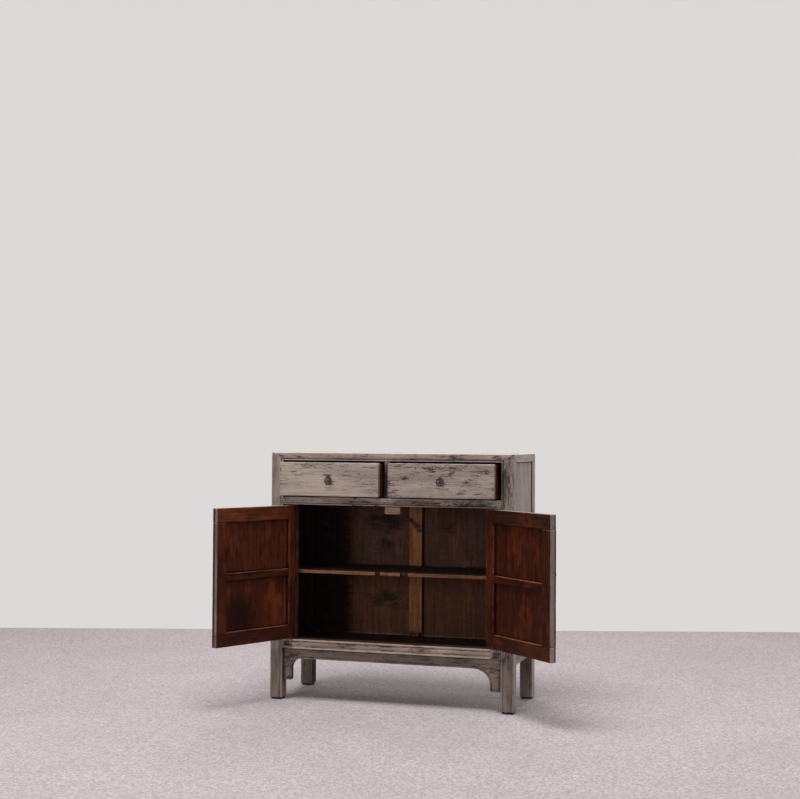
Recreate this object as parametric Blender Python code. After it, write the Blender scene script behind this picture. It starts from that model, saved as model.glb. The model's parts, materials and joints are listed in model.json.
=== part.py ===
"""Chinese sideboard: two drawers over a two-door cupboard, modelled piece by piece.

Metres, +Z up, +X to the right, front face towards -Y. The origin is on the floor, at the middle of the
four feet. The drawers stand pulled out a little and both doors stand open.
"""
import math

import bmesh
import bpy
from mathutils import Vector

# Gap between pieces that touch
FIT = 0.0003

# Carcass
WIDTH = 0.910
DEPTH = 0.350
HEIGHT = 0.900
POST = 0.046
FOOT_CHAMFER = 0.004
TOP_RAIL_HEIGHT = 0.0285
TOP_PANEL_THICKNESS = 0.014
TOP_PANEL_DROP = 0.0008
DRAWER_OPENING_HEIGHT = 0.1325
DRAWER_RAIL_HEIGHT = 0.028
DRAWER_RAIL_DEPTH = 0.034
MULLION_WIDTH = 0.022
MULLION_OFFSET = -0.008
SILL_HEIGHT = 0.035
SILL_UNDERSIDE = 0.187
SIDE_RAIL_HEIGHT = 0.057
SIDE_RAIL_THICKNESS = 0.030
SIDE_PANEL_THICKNESS = 0.014
SIDE_PANEL_RECESS = 0.003
SIDE_PANEL_REBATE = 0.006

# Moulded face of the sill: two grooves beside a rounded band, stopped short of the posts
MOULDING_STOP = 0.037
MOULDING_FILLET = 0.0065
MOULDING_GROOVE = 0.004
MOULDING_DEPTH = 0.003
MOULDING_BAND_DEPTH = 0.0012

# Front apron with its two spandrel brackets, the left one smaller than the right
APRON_HEIGHT = 0.037
APRON_THICKNESS = 0.018
APRON_RECESS = 0.013
BRACKET_FOOT_HEIGHT = 0.071
BRACKET_CORNER = 0.006
LEFT_BRACKET_WIDTH = 0.0335
LEFT_CURVE_WIDTH = 0.037
LEFT_CURVE_HEIGHT = 0.035
RIGHT_BRACKET_WIDTH = 0.042
RIGHT_CURVE_WIDTH = 0.062
RIGHT_CURVE_HEIGHT = 0.051

# Back, floor and shelf
BACK_BOARD_THICKNESS = 0.012
BACK_BOARD_INSET = 0.018
BACK_BATTEN_WIDTH = 0.050
BACK_BATTEN_THICKNESS = 0.014
BACK_BATTEN_OFFSET = 0.006
BACK_BATTEN_TENON_WIDTH = 0.028
BACK_BATTEN_TENON_HEIGHT = 0.015
FLOOR_THICKNESS = 0.014
FLOOR_DROP = 0.016
SHELF_RISE = 0.2495
SHELF_THICKNESS = 0.0127
SHELF_FRONT_GAP = 0.0015
SHELF_HOUSING = 0.005
SHELF_NOTCH_DEPTH = 0.008
SHELF_NOTCHES = ((-0.0565, 0.017), (0.043, 0.028))

# Drawers
DRAWER_GAP_LEFT = 0.003
LEFT_DRAWER_GAP_RIGHT = 0.0105
RIGHT_DRAWER_GAP_RIGHT = 0.0158
DRAWER_GAP_BELOW = 0.0055
DRAWER_GAP_ABOVE = 0.006
DRAWER_GAP_BEHIND = 0.007
DRAWER_FRONT_THICKNESS = 0.020
DRAWER_WALL_THICKNESS = 0.012
DRAWER_WALL_DROP = 0.004
DRAWER_BOTTOM_THICKNESS = 0.008
DRAWER_BOTTOM_RISE = 0.006
DRAWER_PULLED_OUT = 0.040
RUNNER_HEIGHT = 0.025
RUNNER_LIP = 0.006

# Doors, hung on wooden pivots
DOOR_THICKNESS = 0.024
DOOR_GAP_BOTTOM = 0.0035
DOOR_GAP_TOP = 0.003
DOOR_GAP_HINGE = 0.001
DOOR_GAP_MEETING = 0.003
DOOR_STILE_WIDTH = 0.045
HINGE_STILE_WIDTH = 0.051
HINGE_EDGE_REACH = 0.006
DOOR_RAIL_HEIGHT = 0.050
DOOR_PANEL_THICKNESS = 0.011
DOOR_PANEL_INSET = 0.0015
DOOR_BATTEN_HEIGHT = 0.026
DOOR_BATTEN_INSET = 0.001
DOOR_OPEN_LEFT = math.radians(115.6)
DOOR_OPEN_RIGHT = math.radians(137.1)
JAMB_WIDTH = 0.0195
JAMB_THICKNESS = 0.0165
JAMB_RECESS = 0.022
PIVOT_RADIUS = 0.006
PIVOT_CLEARANCE = 0.0005
PIVOT_LENGTH = 0.013
PIVOT_LIFT = 0.004
STOP_WIDTH = 0.057
STOP_HEIGHT = 0.029
STOP_DEPTH = 0.020
STOP_OFFSET = 0.003
STOP_GAP = 0.001

# Ring pulls: an iron ring in the eye of a cotter whose two legs are bent over inside
RING_RADIUS = 0.0125
RING_WIRE = 0.0020
EYE_RADIUS = 0.0042
EYE_STANDOFF = 0.0060
COTTER_WIRE = 0.0009
COTTER_TAIL = 0.009
DRAWER_PULL_RISE = 0.009
DOOR_PULL_RISE = 0.058

# Facets on round shapes
ROUND_SEGMENTS = 20
ARC_SEGMENTS = 10
CORNER_SEGMENTS = 4
RING_SEGMENTS = 28
WIRE_SEGMENTS = 8

# Places that follow from the sizes above
FRONT = -DEPTH / 2
BACK = DEPTH / 2
SIDE = WIDTH / 2
INNER_X = SIDE - POST
INNER_Y = BACK - POST
TOP_RAIL_UNDERSIDE = HEIGHT - TOP_RAIL_HEIGHT
DRAWER_RAIL_TOP = TOP_RAIL_UNDERSIDE - DRAWER_OPENING_HEIGHT
DRAWER_RAIL_UNDERSIDE = DRAWER_RAIL_TOP - DRAWER_RAIL_HEIGHT
SILL_TOP = SILL_UNDERSIDE + SILL_HEIGHT
FLOOR_TOP = SILL_TOP - FLOOR_DROP
SHELF_TOP = SILL_TOP + SHELF_RISE
SHELF_UNDERSIDE = SHELF_TOP - SHELF_THICKNESS
SIDE_PANEL_INNER_X = SIDE - SIDE_PANEL_RECESS - SIDE_PANEL_THICKNESS
BACK_BOARD_INNER_Y = BACK - BACK_BOARD_INSET - BACK_BOARD_THICKNESS
BATTEN_FRONT_Y = BACK_BOARD_INNER_Y - FIT - BACK_BATTEN_THICKNESS
JAMB_BACK_Y = FRONT + JAMB_RECESS + JAMB_THICKNESS
MULLION_LEFT = MULLION_OFFSET - MULLION_WIDTH / 2
MULLION_RIGHT = MULLION_OFFSET + MULLION_WIDTH / 2
DRAWER_BOTTOM_Z = DRAWER_RAIL_TOP + DRAWER_GAP_BELOW
DRAWER_HEIGHT = DRAWER_OPENING_HEIGHT - DRAWER_GAP_BELOW - DRAWER_GAP_ABOVE
DRAWER_DEPTH = BATTEN_FRONT_Y - DRAWER_GAP_BEHIND - FRONT
DOOR_BOTTOM_Z = SILL_TOP + DOOR_GAP_BOTTOM
DOOR_TOP_Z = DRAWER_RAIL_UNDERSIDE - DOOR_GAP_TOP
HINGE_REACH = DOOR_THICKNESS / 2 + HINGE_EDGE_REACH
PIVOT_X = INNER_X - JAMB_WIDTH - DOOR_GAP_HINGE - HINGE_REACH
PIVOT_Y = FRONT + DOOR_THICKNESS / 2
DOOR_REACH = PIVOT_X - DOOR_GAP_MEETING / 2
COTTER_LEG = COTTER_WIRE + FIT / 2
RING_SAG = EYE_RADIUS - COTTER_WIRE - RING_WIRE - FIT

for leftover in list(bpy.data.objects):
    bpy.data.objects.remove(leftover, do_unlink=True)


def make_material(name, colour, roughness, metallic=0.0):
    """A plain Principled BSDF material."""
    material = bpy.data.materials.new(name)
    material.use_nodes = True
    shader = material.node_tree.nodes["Principled BSDF"]
    shader.inputs["Base Color"].default_value = (*colour, 1.0)
    shader.inputs["Roughness"].default_value = roughness
    shader.inputs["Metallic"].default_value = metallic
    material.diffuse_color = (*colour, 1.0)
    return material


GREY_PAINT = make_material("worn_grey_paint", (0.25, 0.21, 0.18), 0.75)
RED_LACQUER = make_material("dark_red_lacquer", (0.10, 0.030, 0.016), 0.40)
DARK_WOOD = make_material("dark_aged_wood", (0.055, 0.030, 0.024), 0.65)
TAN_WOOD = make_material("tan_wood", (0.20, 0.11, 0.055), 0.60)
PALE_WOOD = make_material("pale_raw_wood", (0.42, 0.27, 0.17), 0.70)
IRON = make_material("dark_iron", (0.035, 0.030, 0.028), 0.50, 0.85)


def add_object(name, mesh, material, parent=None, location=(0.0, 0.0, 0.0)):
    """Links a mesh into the scene as one named piece."""
    piece = bpy.data.objects.new(name, mesh)
    bpy.context.scene.collection.objects.link(piece)
    piece.parent = parent
    piece.location = location
    if material is not None:
        mesh.materials.append(material)
    return piece


def add_joint_empty(name, location, turn_z=0.0, parent=None):
    """An empty on a joint's axis, for the moving pieces to hang from."""
    empty = bpy.data.objects.new(name, None)
    bpy.context.scene.collection.objects.link(empty)
    empty.parent = parent
    empty.location = location
    empty.rotation_euler = (0.0, 0.0, turn_z)
    return empty


def mesh_from_bmesh(name, shape):
    """Writes a bmesh to a mesh, with its faces pointing out."""
    bmesh.ops.recalc_face_normals(shape, faces=shape.faces)
    mesh = bpy.data.meshes.new(name)
    shape.to_mesh(mesh)
    shape.free()
    return mesh


def hull(name, points, material, parent=None):
    """A convex piece from its corner points."""
    shape = bmesh.new()
    for point in points:
        shape.verts.new(point)
    bmesh.ops.convex_hull(shape, input=shape.verts)
    return add_object(name, mesh_from_bmesh(name, shape), material, parent)


def block(name, low, high, material, parent=None):
    """A squared board from its two opposite corners, in any order along each axis."""
    pairs = [sorted(pair) for pair in zip(low, high)]
    points = [(x, y, z) for x in pairs[0] for y in pairs[1] for z in pairs[2]]
    return hull(name, points, material, parent)


def prism(name, outline, axis, start, end, material, parent=None):
    """An outline extruded along one axis; its two coordinates are the other axes, in X, Y, Z order."""
    shape = bmesh.new()
    ends = []
    for place in (start, end):
        ring = []
        for first, second in outline:
            point = [first, second]
            point.insert("xyz".index(axis), place)
            ring.append(shape.verts.new(point))
        ends.append(ring)
    shape.faces.new(ends[0])
    shape.faces.new(reversed(ends[1]))
    for index in range(len(outline)):
        following = (index + 1) % len(outline)
        shape.faces.new((ends[0][following], ends[0][index], ends[1][index], ends[1][following]))
    return add_object(name, mesh_from_bmesh(name, shape), material, parent)


def arc(centre, radii, start, end, segments=ARC_SEGMENTS):
    """Points along an elliptical arc, both ends included; angles in degrees."""
    points = []
    for step in range(segments + 1):
        angle = math.radians(start + (end - start) * step / segments)
        points.append((centre[0] + radii[0] * math.cos(angle), centre[1] + radii[1] * math.sin(angle)))
    return points


def upright_rod(name, centre, radius, bottom, top, parent=None):
    """A round rod along Z, used to bore holes and to add pivots."""
    outline = arc(centre, (radius, radius), 0.0, 360.0, ROUND_SEGMENTS)[:-1]
    return prism(name, outline, "z", bottom, top, None, parent)


def combine(target, tool, operation):
    """Cuts a tool out of a piece, or joins it on, and hides the tool."""
    modifier = target.modifiers.new(tool.name, "BOOLEAN")
    modifier.operation = operation
    modifier.solver = "EXACT"
    modifier.object = tool
    tool.hide_render = True
    tool.display_type = "WIRE"


def mirrored(sign, low_x, high_x):
    """A span along X on the right (+1) or the left (-1) side."""
    return sorted((sign * low_x, sign * high_x))


# Posts, whose heads are cut to a point for the three-way mitre with the top rails

def add_post(name, sign_x, sign_y):
    """A square post with a chamfered foot; its head tapers to the cabinet's upper outer corner."""
    inner = (sign_x * INNER_X, sign_y * INNER_Y)
    outer = (sign_x * SIDE, sign_y * BACK)
    corners = [(x, y) for x in (inner[0], outer[0]) for y in (inner[1], outer[1])]
    middle = Vector(((inner[0] + outer[0]) / 2, (inner[1] + outer[1]) / 2))
    shrink = (POST - 2 * FOOT_CHAMFER) / POST
    points = []
    for corner in corners:
        foot = middle + (Vector(corner) - middle) * shrink
        points.append((foot.x, foot.y, 0.0))
        points.append((corner[0], corner[1], FOOT_CHAMFER))
        points.append((corner[0], corner[1], TOP_RAIL_UNDERSIDE - FIT))
    points.append((outer[0], outer[1], HEIGHT - FIT))
    hull(name, points, GREY_PAINT)


add_post("post_front_left", -1, -1)
add_post("post_front_right", 1, -1)
add_post("post_back_left", -1, 1)
add_post("post_back_right", 1, 1)


# Top frame: four mitred rails round a flush panel

def add_top_rail(name, sign, along_x):
    """A top rail; each end is a pyramid whose tip is the cabinet's upper outer corner."""
    half_length = (INNER_X if along_x else INNER_Y) - FIT
    tip = (SIDE if along_x else BACK) - FIT
    across_inner = sign * (INNER_Y if along_x else INNER_X)
    across_outer = sign * (BACK if along_x else SIDE)
    points = []
    for end in (-1, 1):
        for across in (across_inner, across_outer):
            for z in (TOP_RAIL_UNDERSIDE, HEIGHT):
                points.append((end * half_length, across, z))
        points.append((end * tip, across_outer, HEIGHT))
    if not along_x:
        points = [(y, x, z) for x, y, z in points]
    hull(name, points, GREY_PAINT)


add_top_rail("top_front_rail", -1, True)
add_top_rail("top_back_rail", 1, True)
add_top_rail("top_left_rail", -1, False)
add_top_rail("top_right_rail", 1, False)
block(
    "top_panel",
    (-INNER_X + FIT, -INNER_Y + FIT, HEIGHT - TOP_PANEL_DROP - TOP_PANEL_THICKNESS),
    (INNER_X - FIT, INNER_Y - FIT, HEIGHT - TOP_PANEL_DROP),
    GREY_PAINT,
)

# Rails and mullion of the front
drawer_rail = block(
    "drawer_rail",
    (-INNER_X + FIT, FRONT, DRAWER_RAIL_UNDERSIDE),
    (INNER_X - FIT, FRONT + DRAWER_RAIL_DEPTH, DRAWER_RAIL_TOP),
    GREY_PAINT,
)
sill_rail = block(
    "sill_rail",
    (-INNER_X + FIT, FRONT, SILL_UNDERSIDE),
    (INNER_X - FIT, FRONT + POST, SILL_TOP),
    GREY_PAINT,
)
block(
    "drawer_mullion",
    (MULLION_LEFT, FRONT, DRAWER_RAIL_TOP + FIT),
    (MULLION_RIGHT, FRONT + DRAWER_RAIL_DEPTH, TOP_RAIL_UNDERSIDE - FIT),
    GREY_PAINT,
)


def moulding_outline():
    """Section of what the moulding plane takes off the sill's face, as Y and Z."""
    top = SILL_TOP - MOULDING_FILLET
    bottom = SILL_UNDERSIDE + MOULDING_FILLET
    band_top = top - MOULDING_GROOVE
    band_bottom = bottom + MOULDING_GROOVE
    floor_y = FRONT + MOULDING_DEPTH
    band_half = (band_top - band_bottom) / 2
    band = arc(
        (floor_y, (band_top + band_bottom) / 2),
        (MOULDING_DEPTH - MOULDING_BAND_DEPTH, band_half),
        90.0,
        270.0,
    )
    clear_of_face = FRONT - MOULDING_DEPTH
    return [(clear_of_face, top), (floor_y, top), *band, (floor_y, bottom), (clear_of_face, bottom)]


moulding_half = INNER_X - MOULDING_STOP
moulding = prism("sill_moulding_cut", moulding_outline(), "x", -moulding_half, moulding_half, None)
combine(sill_rail, moulding, "DIFFERENCE")

for side_name, sign in (("left", -1), ("right", 1)):
    centre = (sign * PIVOT_X, PIVOT_Y)
    bore_radius = PIVOT_RADIUS + PIVOT_CLEARANCE
    socket_bottom = DOOR_BOTTOM_Z - PIVOT_LENGTH - FIT
    socket = upright_rod(f"sill_socket_{side_name}", centre, bore_radius, socket_bottom, DOOR_BOTTOM_Z)
    combine(sill_rail, socket, "DIFFERENCE")
    bore_top = DOOR_TOP_Z + PIVOT_LENGTH + PIVOT_LIFT
    bore = upright_rod(f"rail_bore_{side_name}", centre, bore_radius, DOOR_TOP_Z, bore_top)
    combine(drawer_rail, bore, "DIFFERENCE")

    # Recessed strip between the post and the door
    block(
        f"door_jamb_{side_name}",
        (sign * (INNER_X - JAMB_WIDTH), FRONT + JAMB_RECESS, SILL_TOP + FIT),
        (sign * (INNER_X - FIT), JAMB_BACK_Y, DRAWER_RAIL_UNDERSIDE - FIT),
        GREY_PAINT,
    )


# Front apron and brackets, cut from one board

def apron_half_outline(bracket_width, curve_width, curve_height):
    """One half of the apron's outline, as it lies on the right, from its curve round to its upper corner."""
    end_x = INNER_X - FIT
    top = SILL_UNDERSIDE - FIT
    lower_edge = top - APRON_HEIGHT
    edge_x = end_x - bracket_width
    curve = arc(
        (edge_x - curve_width, lower_edge - curve_height),
        (curve_width, curve_height),
        90.0,
        0.0,
    )
    corner = arc(
        (edge_x + BRACKET_CORNER, BRACKET_FOOT_HEIGHT + BRACKET_CORNER),
        (BRACKET_CORNER, BRACKET_CORNER),
        180.0,
        270.0,
        CORNER_SEGMENTS,
    )
    return [*curve, *corner, (end_x, BRACKET_FOOT_HEIGHT), (end_x, top)]


right_half = apron_half_outline(RIGHT_BRACKET_WIDTH, RIGHT_CURVE_WIDTH, RIGHT_CURVE_HEIGHT)
left_half = apron_half_outline(LEFT_BRACKET_WIDTH, LEFT_CURVE_WIDTH, LEFT_CURVE_HEIGHT)
left_half = [(-x, z) for x, z in reversed(left_half)]
apron_front = FRONT + APRON_RECESS
prism("front_apron", right_half + left_half, "y", apron_front, apron_front + APRON_THICKNESS, GREY_PAINT)

# Sides: lower rail and a panel, rebated along its back edge and housed for the shelf
for side_name, sign in (("left", -1), ("right", 1)):
    block(
        f"side_rail_{side_name}",
        (sign * (SIDE - SIDE_RAIL_THICKNESS), -INNER_Y + FIT, SILL_TOP - SIDE_RAIL_HEIGHT),
        (sign * SIDE, INNER_Y - FIT, SILL_TOP),
        GREY_PAINT,
    )
    face_x = SIDE - SIDE_PANEL_RECESS
    step_x = face_x - SIDE_PANEL_REBATE
    panel_outline = [
        (sign * SIDE_PANEL_INNER_X, -INNER_Y + FIT),
        (sign * face_x, -INNER_Y + FIT),
        (sign * face_x, INNER_Y - SIDE_PANEL_REBATE),
        (sign * step_x, INNER_Y - SIDE_PANEL_REBATE),
        (sign * step_x, INNER_Y - FIT),
        (sign * SIDE_PANEL_INNER_X, INNER_Y - FIT),
    ]
    panel = prism(
        f"side_panel_{side_name}",
        panel_outline,
        "z",
        SILL_TOP + FIT,
        TOP_RAIL_UNDERSIDE - FIT,
        GREY_PAINT,
    )
    housing = block(
        f"shelf_housing_{side_name}",
        (sign * (SIDE_PANEL_INNER_X - SHELF_HOUSING), FRONT, SHELF_UNDERSIDE - FIT),
        (sign * (SIDE_PANEL_INNER_X + SHELF_HOUSING), BACK, SHELF_TOP + FIT),
        None,
    )
    combine(panel, housing, "DIFFERENCE")

# Back: lower rail, two boards and the batten over their joint
block("back_rail", (-INNER_X + FIT, INNER_Y, SILL_UNDERSIDE), (INNER_X - FIT, BACK, FLOOR_TOP), GREY_PAINT)
back_joint = BACK_BATTEN_OFFSET
for side_name, low_x, high_x in (
    ("left", -INNER_X + FIT, back_joint - FIT),
    ("right", back_joint + FIT, INNER_X - FIT),
):
    block(
        f"back_board_{side_name}",
        (low_x, BACK_BOARD_INNER_Y, FLOOR_TOP + FIT),
        (high_x, BACK_BOARD_INNER_Y + BACK_BOARD_THICKNESS, TOP_RAIL_UNDERSIDE - FIT),
        DARK_WOOD,
    )
batten_half = BACK_BATTEN_WIDTH / 2
tenon_half = BACK_BATTEN_TENON_WIDTH / 2
batten_foot = FLOOR_TOP + FIT
batten_shoulder = batten_foot + BACK_BATTEN_TENON_HEIGHT
batten_head = TOP_RAIL_UNDERSIDE - FIT
prism(
    "back_batten",
    [
        (back_joint - tenon_half, batten_foot),
        (back_joint + tenon_half, batten_foot),
        (back_joint + tenon_half, batten_shoulder),
        (back_joint + batten_half, batten_shoulder),
        (back_joint + batten_half, batten_head),
        (back_joint - batten_half, batten_head),
        (back_joint - batten_half, batten_shoulder),
        (back_joint - tenon_half, batten_shoulder),
    ],
    "y",
    BATTEN_FRONT_Y,
    BACK_BOARD_INNER_Y - FIT,
    TAN_WOOD,
)

# Cupboard floor and shelf
floor_x = SIDE - SIDE_RAIL_THICKNESS - FIT
block(
    "floor_board",
    (-floor_x, -INNER_Y + FIT, FLOOR_TOP - FLOOR_THICKNESS),
    (floor_x, INNER_Y - FIT, FLOOR_TOP),
    DARK_WOOD,
)


def shelf_outline():
    """Plan of the shelf: two notches in front, one at the back for the batten, ends between the posts."""
    front = JAMB_BACK_Y + SHELF_FRONT_GAP
    between_posts = INNER_X - FIT
    end = SIDE_PANEL_INNER_X + SHELF_HOUSING - FIT
    behind_posts = -INNER_Y + FIT
    before_posts = INNER_Y - FIT
    back = BACK_BOARD_INNER_Y - FIT
    batten_left = back_joint - batten_half - FIT
    batten_right = back_joint + batten_half + FIT
    outline = [(-between_posts, front)]
    for middle, width in SHELF_NOTCHES:
        outline += [
            (middle - width / 2, front),
            (middle - width / 2, front + SHELF_NOTCH_DEPTH),
            (middle + width / 2, front + SHELF_NOTCH_DEPTH),
            (middle + width / 2, front),
        ]
    outline += [
        (between_posts, front),
        (between_posts, behind_posts),
        (end, behind_posts),
        (end, before_posts),
        (between_posts, before_posts),
        (between_posts, back),
        (batten_right, back),
        (batten_right, BATTEN_FRONT_Y - FIT),
        (batten_left, BATTEN_FRONT_Y - FIT),
        (batten_left, back),
        (-between_posts, back),
        (-between_posts, before_posts),
        (-end, before_posts),
        (-end, behind_posts),
        (-between_posts, behind_posts),
    ]
    return outline


prism("shelf", shelf_outline(), "z", SHELF_UNDERSIDE, SHELF_TOP, DARK_WOOD)

# Stop block that both doors close against, under the drawer rail
stop_front = FRONT + DOOR_THICKNESS + STOP_GAP
block(
    "door_stop",
    (STOP_OFFSET - STOP_WIDTH / 2, stop_front, DRAWER_RAIL_UNDERSIDE - FIT - STOP_HEIGHT),
    (STOP_OFFSET + STOP_WIDTH / 2, stop_front + STOP_DEPTH, DRAWER_RAIL_UNDERSIDE - FIT),
    PALE_WOOD,
)


# Ring pulls, built about the eye's centre with the wood's face towards +Y

def cotter_points(wood):
    """The cotter's wire as Y and Z: upper tail, upper leg, round the eye, lower leg and lower tail."""
    bend = COTTER_WIRE + 2 * FIT
    tail_y = EYE_STANDOFF + wood + FIT + COTTER_WIRE
    upper = [(tail_y, COTTER_TAIL)]
    upper += arc((tail_y - bend, COTTER_LEG + bend), (bend, bend), 0.0, -90.0, CORNER_SEGMENTS)
    neck = math.degrees(math.asin(COTTER_LEG / EYE_RADIUS))
    eye = arc((0.0, 0.0), (EYE_RADIUS, EYE_RADIUS), neck, 360.0 - neck, 2 * ARC_SEGMENTS)
    lower = [(y, -z) for y, z in reversed(upper)]
    return upper + eye + lower


def add_cotter(name, place, wood, parent):
    """A bent wire cotter: one tube along its points, with closed ends."""
    curve = bpy.data.curves.new(name, "CURVE")
    curve.dimensions = "3D"
    curve.bevel_depth = COTTER_WIRE
    curve.bevel_resolution = 2
    curve.use_fill_caps = True
    points = cotter_points(wood)
    spline = curve.splines.new("POLY")
    spline.points.add(len(points) - 1)
    for point, (y, z) in zip(spline.points, points):
        point.co = (0.0, y, z, 1.0)
    return add_object(name, curve, IRON, parent, place)


def add_ring(name, place, parent):
    """A wire ring hanging from its top, with its origin on the axis it swings about."""
    shape = bmesh.new()
    loops = []
    for step in range(RING_SEGMENTS):
        turn = 2 * math.pi * step / RING_SEGMENTS
        loop = []
        for facet in range(WIRE_SEGMENTS):
            around = 2 * math.pi * facet / WIRE_SEGMENTS
            reach = RING_RADIUS + RING_WIRE * math.cos(around)
            drop = reach * math.cos(turn) - RING_RADIUS
            loop.append(shape.verts.new((reach * math.sin(turn), RING_WIRE * math.sin(around), drop)))
        loops.append(loop)
    for step in range(RING_SEGMENTS):
        here, ahead = loops[step], loops[(step + 1) % RING_SEGMENTS]
        for facet in range(WIRE_SEGMENTS):
            beside = (facet + 1) % WIRE_SEGMENTS
            shape.faces.new((here[facet], here[beside], ahead[beside], ahead[facet]))
    mesh = mesh_from_bmesh(name, shape)
    mesh.shade_smooth()
    return add_object(name, mesh, IRON, parent, place)


def add_pull(prefix, face_place, wood, board, parent):
    """A ring pull on a board's outer face, with the slot that its cotter passes through."""
    x, y, z = face_place
    eye = (x, y - EYE_STANDOFF, z)
    half_x = COTTER_WIRE + FIT
    half_z = COTTER_LEG + COTTER_WIRE + FIT
    slot = block(
        f"{prefix}_cotter_slot",
        (x - half_x, y - wood, z - half_z),
        (x + half_x, y + 2 * wood, z + half_z),
        None,
        parent,
    )
    combine(board, slot, "DIFFERENCE")
    add_cotter(f"{prefix}_cotter", eye, wood, parent)
    add_ring(f"{prefix}_ring", (eye[0], eye[1], eye[2] - RING_SAG), parent)


# Drawers and the runners that carry them

def add_drawer(prefix, left, right):
    """One drawer between two X places, built about the middle of its front's lower edge."""
    middle = (left + right) / 2
    origin = add_joint_empty(f"{prefix}_slide", (middle, FRONT - DRAWER_PULLED_OUT, DRAWER_BOTTOM_Z))
    half = (right - left) / 2
    inside = half - DRAWER_WALL_THICKNESS
    behind_front = DRAWER_FRONT_THICKNESS + FIT
    wall_top = DRAWER_HEIGHT - DRAWER_WALL_DROP
    back_face = DRAWER_DEPTH - DRAWER_WALL_THICKNESS
    front = block(
        f"{prefix}_front",
        (-half, 0.0, 0.0),
        (half, DRAWER_FRONT_THICKNESS, DRAWER_HEIGHT),
        GREY_PAINT,
        origin,
    )
    for side_name, sign in (("left", -1), ("right", 1)):
        block(
            f"{prefix}_side_{side_name}",
            (sign * inside, behind_front, 0.0),
            (sign * half, DRAWER_DEPTH, wall_top),
            RED_LACQUER,
            origin,
        )
    block(
        f"{prefix}_back",
        (-inside + FIT, back_face, 0.0),
        (inside - FIT, DRAWER_DEPTH, wall_top),
        DARK_WOOD,
        origin,
    )
    block(
        f"{prefix}_bottom",
        (-inside + FIT, behind_front, DRAWER_BOTTOM_RISE),
        (inside - FIT, back_face - FIT, DRAWER_BOTTOM_RISE + DRAWER_BOTTOM_THICKNESS),
        DARK_WOOD,
        origin,
    )
    pull_z = DRAWER_HEIGHT / 2 + DRAWER_PULL_RISE
    add_pull(prefix, (0.0, 0.0, pull_z), DRAWER_FRONT_THICKNESS, front, origin)


drawer_spans = {
    "left_drawer": (-INNER_X + DRAWER_GAP_LEFT, MULLION_LEFT - LEFT_DRAWER_GAP_RIGHT),
    "right_drawer": (MULLION_RIGHT + DRAWER_GAP_LEFT, INNER_X - RIGHT_DRAWER_GAP_RIGHT),
}
for drawer_name, (drawer_left, drawer_right) in drawer_spans.items():
    add_drawer(drawer_name, drawer_left, drawer_right)

runner_reach = DRAWER_WALL_THICKNESS + RUNNER_LIP
runner_spans = {
    "left": (-INNER_X + FIT, drawer_spans["left_drawer"][0] + runner_reach, BACK_BOARD_INNER_Y),
    "centre": (
        drawer_spans["left_drawer"][1] - runner_reach,
        drawer_spans["right_drawer"][0] + runner_reach,
        BATTEN_FRONT_Y,
    ),
    "right": (drawer_spans["right_drawer"][1] - runner_reach, INNER_X - FIT, BACK_BOARD_INNER_Y),
}
for runner_name, (runner_left, runner_right, runner_end) in runner_spans.items():
    block(
        f"drawer_runner_{runner_name}",
        (runner_left, FRONT + DRAWER_RAIL_DEPTH + FIT, DRAWER_BOTTOM_Z - FIT - RUNNER_HEIGHT),
        (runner_right, runner_end - FIT, DRAWER_BOTTOM_Z - FIT),
        DARK_WOOD,
    )


# Doors

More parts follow.
